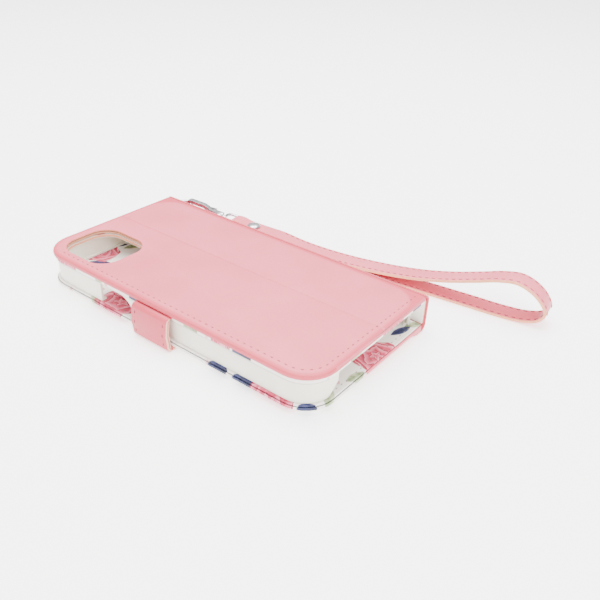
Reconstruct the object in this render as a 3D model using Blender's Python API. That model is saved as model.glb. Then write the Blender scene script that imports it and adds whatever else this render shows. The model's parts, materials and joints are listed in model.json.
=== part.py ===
"""A folio phone case with a clasp, a camera opening and a wrist strap on a snap hook.

The case lies closed with its back up: +X runs from the camera end to the charging end, +Y from the
clasp to the spine, +Z out of the back. The origin is the middle of the tray face that the phone's
back lies on. Lengths are in metres, written as millimetres times MM.
"""

import math

import bmesh
import bpy
from mathutils import Matrix, Vector

MM = 0.001

# The phone that the tray holds, and the play around it
PHONE_LENGTH = 150.9 * MM
PHONE_WIDTH = 75.7 * MM
PHONE_DEPTH = 8.3 * MM
PHONE_CORNER = 11.0 * MM
PHONE_PLAY = 0.2 * MM
GAP = 0.3 * MM

# The moulded tray
TRAY_WALL = 1.1 * MM
TRAY_BACK = 1.2 * MM
LIP_WIDTH = 1.4 * MM
LIP_DEPTH = 0.9 * MM
SIDE_KEY_PLACE = 47.5 * MM
SIDE_KEY_LENGTH = 21.0 * MM
VOLUME_KEYS_PLACE = 43.0 * MM
VOLUME_KEYS_LENGTH = 36.0 * MM
CUT_BELOW_BACK = 0.6 * MM
KEY_CORNER = 8.0 * MM
PORT_POST_NEAR = 17.0 * MM
PORT_POST_NEAR_RIM = 10.0 * MM
PORT_POST_FAR = 8.0 * MM
PORT_POST_FAR_RIM = 5.0 * MM
CAMERA_STEP = 0.5 * MM

# The camera opening, measured from the phone's camera corner
CAMERA_LENGTH = 31.3 * MM
CAMERA_WIDTH = 28.3 * MM
CAMERA_CORNER = 9.5 * MM
CAMERA_FROM_END = 2.2 * MM
CAMERA_FROM_SIDE = 3.0 * MM

# The covered boards
OVERHANG_ENDS = 1.75 * MM
OVERHANG_CLASP = 1.5 * MM
PANEL_CORNER = 14.0 * MM
LEATHER = 0.8 * MM
BACK_BOARD = 0.7 * MM
LINING = 0.5 * MM
EDGE_ROUND = 0.9 * MM
CREASE_FROM_CLASP = 46.4 * MM
CREASE_WIDTH = 1.0 * MM
CREASE_DEPTH = 0.3 * MM

# The spine
SPINE_BOARD = 0.5 * MM
SPINE_BEND = 3.4 * MM

# The front cover
COVER_SKIN = 0.6 * MM
COVER_BOARD = 0.4 * MM
COVER_LINING = 0.4 * MM
COVER_SEAM_FROM_CLASP = 36.0 * MM
SEAM_STEP = 0.2 * MM
COVER_RISE_LENGTH = 9.0 * MM

# The card pockets on the cover's inner face
POCKET_LENGTH = 90.0 * MM
POCKET_CENTRE_X = 5.0 * MM
POCKET_FROM_SIDE = 5.85 * MM
NOTE_POCKET_DEPTH = 34.0 * MM
CARD_POCKET_DEPTH = 20.0 * MM
POCKET_THICKNESS = 0.6 * MM

# The clasp
CLASP_WIDTH = 20.6 * MM
CLASP_PLACE = -2.6 * MM
CLASP_BOW = 1.1 * MM
CLASP_OUTER = 1.2 * MM
CLASP_INNER = 0.4 * MM
CLASP_BEND = 1.6 * MM
CLASP_REACH = 22.0 * MM
CLASP_ANCHOR_LENGTH = 16.0 * MM
CLASP_ANCHOR = 0.5 * MM
CLASP_TIP_CORNER = 8.0 * MM
MAGNET_RADIUS = 6.0 * MM
MAGNET_THICKNESS = 0.5 * MM
MAGNET_FROM_EDGE = 12.5 * MM

# The ring and its leather loop, on the spine at the camera end
RING_RADIUS = 4.2 * MM
RING_WIRE = 0.75 * MM
RING_FROM_END = 1.5 * MM
RING_HEIGHT = 11.0 * MM
LOOP_WIDTH = 3.6 * MM
LOOP_LEATHER = 0.7 * MM
LOOP_ROOM = 1.5 * MM
LOOP_FLANGE = 2.0 * MM

# The snap hook
HOOK_HEADING = math.radians(21.0)
HOOK_PITCH = math.radians(12.0)
HOOK_THICKNESS = 3.0 * MM
CLAW_RADIUS = 2.5 * MM
CLAW_BAR = 1.8 * MM
CLAW_LENGTH = 10.5 * MM
BARREL_RADIUS = 2.4 * MM
BARREL_START = 13.2 * MM
BARREL_END = 18.6 * MM
PIVOT_PLACE = (11.2 * MM, -2.0 * MM)
PIVOT_LUG = 2.1 * MM
PIN_RADIUS = 0.5 * MM
GATE_THICKNESS = 1.4 * MM
GATE_HALF_HEIGHT = 0.9 * MM
GATE_TIP = (2.5 * MM, -2.5 * MM)
POST_RADIUS = 1.1 * MM
POST_HEAD_RADIUS = 1.6 * MM
POST_HEAD = 1.2 * MM
EYE_WIRE = 0.8 * MM
EYE_LENGTH = 7.4 * MM
EYE_HALF_WIDTH = 5.8 * MM

# The wrist strap
STRAP_HEADING = math.radians(7.0)
STRAP_WIDTH = 10.8 * MM
STRAP_THICKNESS = 1.3 * MM
# How far the strap's inner face lies inside the line of its route
STRAP_INSET = 0.65 * MM
STRAP_END_WIDTH = 7.0 * MM
STRAP_TAPER = 8.0 * MM
RIVET_PLACE = 11.0 * MM
RIVET_HEAD = 3.5 * MM
RIVET_SHANK = 1.4 * MM
RIVET_DOME = 1.3 * MM
RIVET_FLANGE = 0.7 * MM
# The strap's line in millimetres: along the strap from the eye's bar, and above the table
STRAP_ROUTE = (
    (-2.9, 5.2), (-0.9, 7.1), (2.6, 7.1), (6.4, 5.4), (11.0, 5.0), (15.0, 4.8), (28.0, 4.4),
    (38.0, 3.1), (50.0, 2.3), (64.0, 2.3), (78.0, 3.0), (94.0, 4.6), (108.0, 6.8), (122.0, 10.2),
    (135.0, 14.4), (145.0, 17.8), (153.0, 19.0), (160.0, 16.6), (165.0, 12.4), (167.2, 8.0),
    (164.8, 4.0), (158.6, 1.6), (149.0, 0.66), (132.0, 0.65), (108.0, 0.65), (84.0, 0.65),
    (64.0, 0.65), (50.0, 0.65), (38.0, 1.45), (28.0, 2.75), (15.0, 3.15), (11.0, 3.35),
    (6.4, 3.4), (2.6, 3.3), (-0.9, 3.4),
)
STRAP_STEPS = 6

# Heights, from the phone's back face at zero
TRAY_TOP = TRAY_BACK
LINING_LOW = TRAY_TOP + GAP
LINING_TOP = LINING_LOW + LINING
PANEL_LOW = LINING_TOP + GAP
BOARD_LOW = PANEL_LOW + GAP
BOARD_TOP = BOARD_LOW + BACK_BOARD
SKIN_LOW = BOARD_TOP + GAP
PANEL_TOP = SKIN_LOW + LEATHER
LIP_TOP = -PHONE_DEPTH - 0.1 * MM
TRAY_RIM = LIP_TOP - LIP_DEPTH
COVER_TOP = TRAY_RIM - GAP
COVER_LINING_LOW = COVER_TOP - COVER_LINING
COVER_BOARD_TOP = COVER_LINING_LOW - GAP
COVER_BOARD_LOW = COVER_BOARD_TOP - COVER_BOARD
COVER_SKIN_TOP = COVER_BOARD_LOW - GAP
COVER_LOW = COVER_SKIN_TOP - COVER_SKIN
CLASP_TIP_TOP = COVER_LOW - GAP
CLASP_THICKNESS = CLASP_OUTER + GAP + CLASP_INNER
FLOOR = CLASP_TIP_TOP - CLASP_THICKNESS

# Places in plan
TRAY_X = PHONE_LENGTH / 2 + PHONE_PLAY + TRAY_WALL
TRAY_Y = PHONE_WIDTH / 2 + PHONE_PLAY + TRAY_WALL
PANEL_X = TRAY_X + OVERHANG_ENDS
CLASP_EDGE = -TRAY_Y - OVERHANG_CLASP
SPINE_LINING_IN = TRAY_Y + GAP + 0.1 * MM
SPINE_BOARD_IN = SPINE_LINING_IN + LINING + GAP
SPINE_LEATHER_IN = SPINE_BOARD_IN + SPINE_BOARD + GAP
SPINE_OUT = SPINE_LEATHER_IN + LEATHER
FOLD_Y = SPINE_OUT - SPINE_BEND
CREASE_Y = CLASP_EDGE + CREASE_FROM_CLASP
COVER_SEAM_Y = CLASP_EDGE + COVER_SEAM_FROM_CLASP
CLASP_FOLD_Y = CLASP_EDGE - GAP - 0.1 * MM
CLASP_TIP_END_Y = CLASP_EDGE + CLASP_REACH
MAGNET_PLACE = (CLASP_PLACE, CLASP_EDGE + MAGNET_FROM_EDGE)

ARC_STEPS = 8
UP = Vector((0, 0, 1))


def clear_scene():
    for thing in list(bpy.data.objects):
        bpy.data.objects.remove(thing, do_unlink=True)


def finish(name, colour, roughness, metallic=0.0):
    """A plain material with the part's colour, roughness and metallic value."""
    material = bpy.data.materials.new(name)
    material.use_nodes = True
    shader = material.node_tree.nodes["Principled BSDF"]
    shader.inputs["Base Color"].default_value = (*colour, 1.0)
    shader.inputs["Roughness"].default_value = roughness
    shader.inputs["Metallic"].default_value = metallic
    material.diffuse_color = (*colour, 1.0)
    return material


def hinge_frame(name, place, heading=0.0, pitch=0.0):
    """An empty on a moving body's joint axis, turned the way that the body is."""
    frame = bpy.data.objects.new(name, None)
    bpy.context.scene.collection.objects.link(frame)
    turned = Matrix.Rotation(heading, 4, "Z") @ Matrix.Rotation(pitch, 4, "Y")
    frame.matrix_basis = Matrix.Translation(place) @ turned
    return frame


def add_solid(name, bm, material, frame=None, placed=None):
    """Link a mesh as an object. Its shape is in world axes, or its own when placed in its frame."""
    bmesh.ops.recalc_face_normals(bm, faces=bm.faces)
    mesh = bpy.data.meshes.new(name)
    if frame and placed is None:
        bm.transform(frame.matrix_basis.inverted())
    bm.to_mesh(mesh)
    bm.free()
    mesh.shade_smooth()
    mesh.set_sharp_from_angle(angle=math.radians(32))
    piece = bpy.data.objects.new(name, mesh)
    bpy.context.scene.collection.objects.link(piece)
    piece.parent = frame
    if placed:
        piece.matrix_basis = placed
    if material:
        mesh.materials.append(material)
    return piece


def add_cutter(name, bm, frame=None, placed=None):
    tool = add_solid(name, bm, None, frame, placed)
    tool.hide_render = True
    tool.display_type = "WIRE"
    return tool


def boolean(piece, tool, operation="DIFFERENCE"):
    step = piece.modifiers.new(tool.name, "BOOLEAN")
    step.operation = operation
    step.solver = "EXACT"
    step.object = tool


def arc(centre, radius, start, end, steps=ARC_STEPS):
    """Points on an arc, from one angle to another in degrees."""
    angles = [math.radians(start + (end - start) * step / steps) for step in range(steps + 1)]
    return [(centre[0] + radius * math.cos(a), centre[1] + radius * math.sin(a)) for a in angles]


def rounded_rectangle(x0, x1, y0, y1, radii):
    """An outline, anticlockwise, with a radius for each corner from (x0, y0) round."""
    corners = ((x0, y0, 1, 1, 180), (x1, y0, -1, 1, 270), (x1, y1, -1, -1, 0), (x0, y1, 1, -1, 90))
    outline = []
    for (x, y, inward_x, inward_y, start), radius in zip(corners, radii):
        if radius:
            centre = (x + inward_x * radius, y + inward_y * radius)
            outline += arc(centre, radius, start, start + 90)
        else:
            outline.append((x, y))
    return outline


def pull(points, along):
    """A solid made by pulling a flat outline along a vector."""
    bm = bmesh.new()
    face = bm.faces.new([bm.verts.new(point) for point in points])
    pulled = bmesh.ops.extrude_face_region(bm, geom=[face])
    moved = [part for part in pulled["geom"] if isinstance(part, bmesh.types.BMVert)]
    bmesh.ops.translate(bm, vec=along, verts=moved)
    return bm


def plate(outline, low, top):
    """A flat plate from an outline in plan."""
    return pull([(x, y, low) for x, y in outline], (0, 0, top - low))


def along_x(outline, x0, x1):
    """A solid with one cross-section, given as (y, z), from x0 to x1."""
    return pull([(x0, y, z) for y, z in outline], (x1 - x0, 0, 0))


def across(outline, half_width):
    """A solid from an outline in (x, z), as wide to either side of its middle plane."""
    return pull([(x, -half_width, z) for x, z in outline], (0, 2 * half_width, 0))


def turn(profile, lengthwise=False, steps=28):
    """A turned solid from (radius, height) points. Its axis is Z, or X with lengthwise."""
    bm = bmesh.new()
    points = [bm.verts.new((radius, 0, height)) for radius, height in profile]
    edges = [bm.edges.new(pair) for pair in zip(points, points[1:])]
    around = {"cent": (0, 0, 0), "axis": (0, 0, 1), "angle": math.tau, "steps": steps}
    bmesh.ops.spin(bm, geom=points + edges, use_merge=True, **around)
    bmesh.ops.remove_doubles(bm, verts=bm.verts, dist=0.001 * MM)
    if lengthwise:
        bm.transform(Matrix.Rotation(math.pi / 2, 4, "Y"))
    return bm


def ring_of_sections(sections):
    """A closed loop of equal cross-sections, each joined to the next."""
    bm = bmesh.new()
    rings = [[bm.verts.new(point) for point in section] for section in sections]
    count = len(rings[0])
    for ring, after in zip(rings, rings[1:] + rings[:1]):
        for corner in range(count):
            beside = (corner + 1) % count
            bm.faces.new((ring[corner], ring[beside], after[beside], after[corner]))
    return bm


def path_directions(path):
    """The direction of a closed flat path at each of its points."""
    count = len(path)
    for place in range(count):
        before = Vector(path[place - 1])
        after = Vector(path[(place + 1) % count])
        yield Vector(path[place]), (after - before).normalized()


def wire_loop(path, radius, sides=10):
    """A round wire along a closed path in plan."""
    sections = []
    for point, direction in path_directions(path):
        sideways = Vector((direction.y, -direction.x, 0))
        turns = [math.tau * side / sides for side in range(sides)]
        middle = Vector((point.x, point.y, 0))
        section = [middle + radius * (math.cos(t) * sideways + math.sin(t) * UP) for t in turns]
        sections.append(section)
    return ring_of_sections(sections)


def ribbon(path, thickness):
    """The outline of a strip of even thickness along an open path."""
    left, right = [], []
    for place, point in enumerate(path):
        before = Vector(path[max(place - 1, 0)])
        after = Vector(path[min(place + 1, len(path) - 1)])
        direction = (after - before).normalized()
        aside = Vector((-direction.y, direction.x)) * thickness / 2
        left.append(tuple(Vector(point) + aside))
        right.append(tuple(Vector(point) - aside))
    return left + right[::-1]


def smooth_loop(points, steps):
    """A closed curve through the points, with even speed by the square root of their spacing."""
    count = len(points)
    curve = []
    for place in range(count):
        p0, p1, p2, p3 = (Vector(points[(place + offset) % count]) for offset in (-1, 0, 1, 2))
        t1 = (p1 - p0).length ** 0.5
        t2 = t1 + (p2 - p1).length ** 0.5
        t3 = t2 + (p3 - p2).length ** 0.5
        for step in range(steps):
            t = t1 + (t2 - t1) * step / steps
            a1 = p0.lerp(p1, t / t1)
            a2 = p1.lerp(p2, (t - t1) / (t2 - t1))
            a3 = p2.lerp(p3, (t - t2) / (t3 - t2))
            b1 = a1.lerp(a2, t / t2)
            b2 = a2.lerp(a3, (t - t1) / (t3 - t1))
            curve.append(tuple(b1.lerp(b2, (t - t1) / (t2 - t1))))
    return curve


def round_outline_edges(bm, height, width, straight_y):
    """Round the edges at one height, except along the side that the next panel joins."""
    tolerance = 0.01 * MM
    edges = [
        edge for edge in bm.edges
        if all(abs(end.co.z - height) < tolerance for end in edge.verts)
        and not all(abs(end.co.y - straight_y) < tolerance for end in edge.verts)
    ]
    bmesh.ops.bevel(bm, geom=edges, offset=width, segments=3, profile=0.5, affect="EDGES")


def panel_outline(inset, far_y):
    """The case's outline, set in from its edge: round at the clasp, square at the spine."""
    radius = PANEL_CORNER - inset
    half = PANEL_X - inset
    return rounded_rectangle(-half, half, CLASP_EDGE + inset, far_y, (radius, radius, 0, 0))


def clasp_outline(margin, y0, y1, corner=0):
    """A rectangle as wide as the clasp, in its place along the edge."""
    half = CLASP_WIDTH / 2 + margin
    return rounded_rectangle(CLASP_PLACE - half, CLASP_PLACE + half, y0, y1, (0, 0, corner, corner))


def camera_cutter(name, margin):
    x0 = -PHONE_LENGTH / 2 + CAMERA_FROM_END
    y0 = -PHONE_WIDTH / 2 + CAMERA_FROM_SIDE
    far_x = x0 + CAMERA_LENGTH + margin
    far_y = y0 + CAMERA_WIDTH + margin
    outline = rounded_rectangle(x0 - margin, far_x, y0 - margin, far_y, (CAMERA_CORNER,) * 4)
    return add_cutter(name, plate(outline, -1 * MM, PANEL_TOP + 1 * MM))


def tray_outline(inset):
    """The tray's outline, set in from its outer face."""
    radius = PHONE_CORNER + PHONE_PLAY + TRAY_WALL - inset
    half_x = TRAY_X - inset
    half_y = TRAY_Y - inset
    return rounded_rectangle(-half_x, half_x, -half_y, half_y, (radius,) * 4)


def key_notch(name, side, place, length):
    """A notch in a long wall for keys, open at the rim, with one round top corner."""
    middle = -PHONE_LENGTH / 2 + place
    start = middle - length / 2
    end = middle + length / 2
    top = -CUT_BELOW_BACK
    low = TRAY_RIM - 1 * MM
    outline = [(start, low), (end, low)]
    outline += arc((end - KEY_CORNER, top - KEY_CORNER), KEY_CORNER, 0, 90)
    outline += [(start, top)]
    bm = across(outline, TRAY_WALL + LIP_WIDTH + 1 * MM)
    bmesh.ops.translate(bm, vec=(0, side * TRAY_Y, 0), verts=bm.verts)
    return add_cutter(name, bm)


def make_tray(material, camera):
    """The soft tray that grips the phone, open at the rim, the keys, the camera and the port end."""
    tray = add_solid("phone_tray", plate(tray_outline(0), TRAY_RIM, TRAY_TOP), material)
    room = plate(tray_outline(TRAY_WALL), LIP_TOP, 0)
    boolean(tray, add_cutter("cut_phone_room", room))
    mouth = plate(tray_outline(TRAY_WALL + LIP_WIDTH), TRAY_RIM - 1 * MM, LIP_TOP + 1 * MM)
    boolean(tray, add_cutter("cut_screen_mouth", mouth))
    boolean(tray, key_notch("cut_side_key", -1, SIDE_KEY_PLACE, SIDE_KEY_LENGTH))
    boolean(tray, key_notch("cut_volume_keys", 1, VOLUME_KEYS_PLACE, VOLUME_KEYS_LENGTH))
    middle = TRAY_RIM / 2
    low = TRAY_RIM - 1 * MM
    port_end = [
        (-TRAY_Y + PORT_POST_NEAR_RIM, low), (TRAY_Y - PORT_POST_FAR_RIM, low),
        (TRAY_Y - PORT_POST_FAR, middle), (TRAY_Y - PORT_POST_FAR, -CUT_BELOW_BACK),
        (-TRAY_Y + PORT_POST_NEAR, -CUT_BELOW_BACK), (-TRAY_Y + PORT_POST_NEAR, middle),
    ]
    deep = TRAY_WALL + LIP_WIDTH + 1 * MM
    boolean(tray, add_cutter("cut_port_end", along_x(port_end, TRAY_X - deep, TRAY_X + 1 * MM)))
    boolean(tray, camera)


def make_back(leather, board, lining, camera):
    """The covered back: leather with turned edges, a board on either side of the crease, a lining."""
    end = FOLD_Y - GAP
    skin = plate(panel_outline(0, end), PANEL_LOW, PANEL_TOP)
    round_outline_edges(skin, PANEL_TOP, EDGE_ROUND, end)
    back = add_solid("back_leather", skin, leather)
    room = plate(panel_outline(LEATHER, end + 1 * MM), PANEL_LOW - 1 * MM, SKIN_LOW)
    boolean(back, add_cutter("cut_back_room", room))
    boolean(back, camera)
    crease = [
        (CREASE_Y - CREASE_WIDTH / 2, PANEL_TOP + 0.1 * MM), (CREASE_Y, PANEL_TOP - CREASE_DEPTH),
        (CREASE_Y + CREASE_WIDTH / 2, PANEL_TOP + 0.1 * MM),
    ]
    past_ends = PANEL_X + 1 * MM
    boolean(back, add_cutter("cut_crease", along_x(crease, -past_ends, past_ends)))

    inset = LEATHER + GAP
    for name, y0, y1 in (
        ("back_board_fixed", CLASP_EDGE + inset, CREASE_Y - CREASE_WIDTH),
        ("back_board_folding", CREASE_Y + CREASE_WIDTH, end - GAP),
    ):
        half = PANEL_X - inset
        radius = PANEL_CORNER - inset if y0 < 0 else 0
        outline = rounded_rectangle(-half, half, y0, y1, (radius, radius, 0, 0))
        stiffener = add_solid(name, plate(outline, BOARD_LOW, BOARD_TOP), board)
        if y0 < 0:
            boolean(stiffener, camera)

    cloth = plate(panel_outline(CUT_BELOW_BACK, end), LINING_LOW, LINING_TOP)
    under = add_solid("back_lining", cloth, lining)
    boolean(under, camera)
    tongue_end = CLASP_EDGE + CLASP_ANCHOR_LENGTH
    notch = clasp_outline(GAP, CLASP_EDGE - 1 * MM, tongue_end + GAP)
    notch = plate(notch, LINING_LOW - 1 * MM, PANEL_LOW)
    boolean(under, add_cutter("cut_anchor_notch", notch))
    tongue = clasp_outline(0, CLASP_FOLD_Y + GAP, tongue_end)
    add_solid("clasp_anchor", plate(tongue, LINING_LOW, LINING_LOW + CLASP_ANCHOR), leather)


def spine_face(depth):
    """The spine's cross-section at a depth under its outer face, from the back round to the cover."""
    radius = SPINE_BEND - depth
    upper = arc((FOLD_Y, PANEL_TOP - SPINE_BEND), radius, 90, 0)
    lower = arc((FOLD_Y, FLOOR + SPINE_BEND), radius, 0, -90)
    return upper + lower


def make_spine(leather, board, lining, frame):
    outline = spine_face(0) + spine_face(LEATHER)[::-1]
    add_solid("spine_leather", along_x(outline, -PANEL_X, PANEL_X), leather, frame)
    clear = SPINE_BEND + GAP
    strip = rounded_rectangle(
        SPINE_BOARD_IN, SPINE_BOARD_IN + SPINE_BOARD, FLOOR + clear, PANEL_TOP - clear, (0,) * 4)
    inner = PANEL_X - LEATHER
    add_solid("spine_board", along_x(strip, -inner, inner), board, frame)
    cloth = rounded_rectangle(
        SPINE_LINING_IN, SPINE_LINING_IN + LINING, COVER_TOP - CUT_BELOW_BACK, LINING_TOP, (0,) * 4)
    add_solid("spine_lining", along_x(cloth, -inner, inner), lining, frame)


def cover_face(y):
    """How high the pink leather's outer face lies: it comes up from the spine's bend."""
    flat = COVER_LOW - SEAM_STEP
    ramp_end = FOLD_Y - SPINE_BEND / 2
    share = min(max((ramp_end - y) / COVER_RISE_LENGTH, 0), 1)
    return FLOOR + (flat - FLOOR) * (1 - math.cos(math.pi * share)) / 2


def make_cover(leather, print_leather, board, lining, steel, frame):
    """The front cover: pink leather from the spine to a seam, printed leather on to the clasp side."""
    end = FOLD_Y - GAP
    ramp_end = FOLD_Y - SPINE_BEND / 2
    ramp = [ramp_end - COVER_RISE_LENGTH * step / ARC_STEPS for step in range(ARC_STEPS + 1)]
    stations = [end] + ramp + [COVER_SEAM_Y]
    outline = [(y, cover_face(y)) for y in stations]
    outline += [(COVER_SEAM_Y, COVER_BOARD_TOP), (end, COVER_BOARD_TOP)]
    pink = add_solid("cover_leather", along_x(outline, -PANEL_X, PANEL_X), leather, frame)
    thick = COVER_SKIN + SEAM_STEP
    stations = [end + 1 * MM] + ramp + [COVER_SEAM_Y - 1 * MM]
    above = COVER_BOARD_TOP + 1 * MM
    room = [(y, cover_face(y) + thick) for y in stations]
    room += [(COVER_SEAM_Y - 1 * MM, above), (end + 1 * MM, above)]
    inner = PANEL_X - COVER_SKIN
    boolean(pink, add_cutter("cut_pink_room", along_x(room, -inner, inner), frame))

    seam = COVER_SEAM_Y - GAP
    printed = plate(panel_outline(0, seam), COVER_LOW, COVER_BOARD_TOP)
    floral = add_solid("cover_print", printed, print_leather, frame)
    room = plate(panel_outline(COVER_SKIN, seam + 1 * MM), COVER_SKIN_TOP, above)
    boolean(floral, add_cutter("cut_print_room", room, frame))

    inset = COVER_SKIN + GAP
    stiff = plate(panel_outline(inset, end - GAP), COVER_BOARD_LOW, COVER_BOARD_TOP)
    stiffener = add_solid("cover_board", stiff, board, frame)
    plate_radius = MAGNET_RADIUS + 0.5 * MM
    depth = (COVER_BOARD_LOW, COVER_BOARD_TOP)
    disc_at(stiffener, frame, plate_radius + GAP, (depth[0] - 1 * MM, depth[1] + 1 * MM))
    keeper = plate(arc(MAGNET_PLACE, plate_radius, 0, 345, 23), *depth)
    add_solid("clasp_keeper", keeper, steel, frame)
    cloth = plate(panel_outline(COVER_SKIN, end), COVER_LINING_LOW, COVER_TOP)
    add_solid("cover_lining", cloth, lining, frame)

    low = COVER_TOP + GAP
    y = -PHONE_WIDTH / 2 + POCKET_FROM_SIDE
    x0 = POCKET_CENTRE_X - POCKET_LENGTH / 2
    for name, deep in (("note_pocket", NOTE_POCKET_DEPTH), ("card_pocket", CARD_POCKET_DEPTH)):
        outline = rounded_rectangle(x0, x0 + POCKET_LENGTH, y, y + deep, (0,) * 4)
        add_solid(name, plate(outline, low, low + POCKET_THICKNESS), lining, frame)
        y += deep + GAP


def disc_at(piece, frame, radius, heights):
    """Cut a round hole over the clasp magnet's place."""
    disc = plate(arc(MAGNET_PLACE, radius, 0, 345, 23), *heights)
    boolean(piece, add_cutter("cut_" + piece.name, disc, frame))


def clasp_face(depth):
    """The clasp's cross-section at a depth under its outer face, from the back down and under."""
    bend = CLASP_BEND + CLASP_INNER
    radius = bend - depth
    top = PANEL_LOW - 0.1 * MM
    outline = arc((CLASP_FOLD_Y, top - bend), radius, 90, 180)
    outline += arc((CLASP_FOLD_Y, FLOOR + bend), radius, 180, 270)
    straight = top - FLOOR
    bows = [CLASP_BOW * math.sin(math.pi * (z - FLOOR) / straight) for y, z in outline]
    middle = len(outline) // 2
    between = (outline[middle - 1][0] - CLASP_BOW, (top + FLOOR) / 2)
    bowed = [(y - bow, z) for (y, z), bow in zip(outline, bows)]
    return bowed[:middle] + [between] + bowed[middle:]


def make_clasp(leather, steel, side_frame, tip_frame):
    """The clasp's side, which bends over the case's edge, and its tip, which holds the magnet."""
    x0 = CLASP_PLACE - CLASP_WIDTH / 2
    x1 = CLASP_PLACE + CLASP_WIDTH / 2
    lining_depth = CLASP_OUTER + GAP
    outer = clasp_face(0) + clasp_face(CLASP_OUTER)[::-1]
    add_solid("clasp_side_outer", along_x(outer, x0, x1), leather, side_frame)
    inner = clasp_face(lining_depth) + clasp_face(CLASP_THICKNESS)[::-1]
    add_solid("clasp_side_inner", along_x(inner, x0, x1), leather, side_frame)

    outer_top = FLOOR + CLASP_OUTER
    outline = clasp_outline(0, CLASP_FOLD_Y + GAP, CLASP_TIP_END_Y, CLASP_TIP_CORNER)
    shell = plate(outline, FLOOR, outer_top)
    tip = add_solid("clasp_tip_outer", shell, leather, tip_frame)
    magnet_low = outer_top - MAGNET_THICKNESS
    disc_at(tip, tip_frame, MAGNET_RADIUS + GAP, (magnet_low - GAP, outer_top + 1 * MM))
    magnet = plate(arc(MAGNET_PLACE, MAGNET_RADIUS, 0, 345, 23), magnet_low, outer_top)
    add_solid("clasp_magnet", magnet, steel, tip_frame)
    facing = plate(outline, FLOOR + lining_depth, CLASP_TIP_TOP)
    add_solid("clasp_tip_inner", facing, leather, tip_frame)


RING_Z = FLOOR + RING_HEIGHT
LOOP_MIDDLE_Y = SPINE_OUT + GAP + LOOP_LEATHER + LOOP_ROOM
RING_CENTRE = Vector((-PANEL_X + RING_FROM_END, LOOP_MIDDLE_Y - 0.2 * MM + RING_RADIUS, RING_Z))


def make_loop(leather, frame):
    """The leather loop on the spine that the ring hangs in."""
    face = SPINE_OUT + GAP + LOOP_LEATHER / 2
    radius = LOOP_ROOM + LOOP_LEATHER / 2
    reach = LOOP_FLANGE + radius
    upper = [(face, reach), (face, radius + 1.3 * MM), (face + 0.35 * MM, radius + 0.6 * MM)]
    upper += [(face + 1.0 * MM, radius + 0.15 * MM)]
    bow = arc((LOOP_MIDDLE_Y, 0), radius, 82, -82, 12)
    lower = [(y, -z) for y, z in reversed(upper)]
    outline = [(y, z + RING_Z) for y, z in ribbon(upper + bow + lower, LOOP_LEATHER)]
    x0 = RING_CENTRE.x - LOOP_WIDTH / 2
    add_solid("strap_loop", along_x(outline, x0, x0 + LOOP_WIDTH), leather, frame)


def make_ring(steel, frame):
    centre = (RING_CENTRE.x, RING_CENTRE.y)
    ring = wire_loop(arc(centre, RING_RADIUS, 0, 350, 35), RING_WIRE)
    bmesh.ops.translate(ring, vec=(0, 0, RING_Z), verts=ring.verts)
    add_solid("strap_ring", ring, steel, frame)


def cylinder_across(name, centre, radius, half_width, frame, placed):
    """A round cutter through the hook from side to side."""
    return add_cutter(name, across(arc(centre, radius, 0, 345, 23), half_width), frame, placed)


def make_hook(steel, frame):
    """The hook's body: a claw, a fork for the gate and a barrel for the swivel."""
    claw = arc((0, 0), CLAW_RADIUS, -72, -270, 18)
    claw += [(CLAW_LENGTH - 3 * MM, CLAW_RADIUS), (CLAW_LENGTH - 1 * MM, CLAW_RADIUS - 0.6 * MM)]
    claw += [(CLAW_LENGTH + 1 * MM, CLAW_RADIUS - 2 * MM), (BARREL_START + 1 * MM, 0.6 * MM)]
    shape = across(ribbon(claw, CLAW_BAR), HOOK_THICKNESS / 2)
    body = add_solid("hook_body", shape, steel, frame, HOOK_PLACE)
    px, pz = PIVOT_PLACE
    shoulder_end = BARREL_START + 1 * MM
    shoulder = [(px - 1.2 * MM, CLAW_RADIUS - 0.5 * MM), (px - 1.6 * MM, pz + 1.2 * MM)]
    shoulder += arc(PIVOT_PLACE, PIVOT_LUG, 180, 320, 8)
    shoulder += [(shoulder_end, -BARREL_RADIUS), (shoulder_end, BARREL_RADIUS)]
    fork = add_cutter("join_fork", across(shoulder, PIVOT_LUG), frame, HOOK_PLACE)
    boolean(body, fork, "UNION")
    profile = [(0, BARREL_START), (BARREL_RADIUS, BARREL_START), (BARREL_RADIUS, BARREL_END)]
    profile += [(0, BARREL_END)]
    barrel = add_cutter("join_barrel", turn(profile, lengthwise=True), frame, HOOK_PLACE)
    boolean(body, barrel, "UNION")

    slot_half = GATE_THICKNESS / 2 + GAP
    slot = [(px - 5 * MM, pz - 4 * MM), (BARREL_START, pz - 4 * MM)]
    slot += [(BARREL_START, -0.4 * MM), (px - 5 * MM, -0.4 * MM)]
    boolean(body, add_cutter("cut_gate_slot", across(slot, slot_half), frame, HOOK_PLACE))
    past = PIVOT_LUG + 1 * MM
    boolean(body, cylinder_across("cut_pin_hole", PIVOT_PLACE, PIN_RADIUS + GAP, past, frame, HOOK_PLACE))
    chamber = POST_HEAD_RADIUS + GAP
    bore = POST_RADIUS + GAP
    start = BARREL_START + 0.8 * MM
    finish_at = start + POST_HEAD + 2 * GAP
    profile = [(0, start), (chamber, start), (chamber, finish_at), (bore, finish_at)]
    profile += [(bore, BARREL_END + 1 * MM), (0, BARREL_END + 1 * MM)]
    boolean(body, add_cutter("cut_post_room", turn(profile, lengthwise=True), frame, HOOK_PLACE))

    pin = across(arc(PIVOT_PLACE, PIN_RADIUS, 0, 330, 11), PIVOT_LUG + 0.2 * MM)
    add_solid("gate_pin", pin, steel, frame, HOOK_PLACE)


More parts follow.
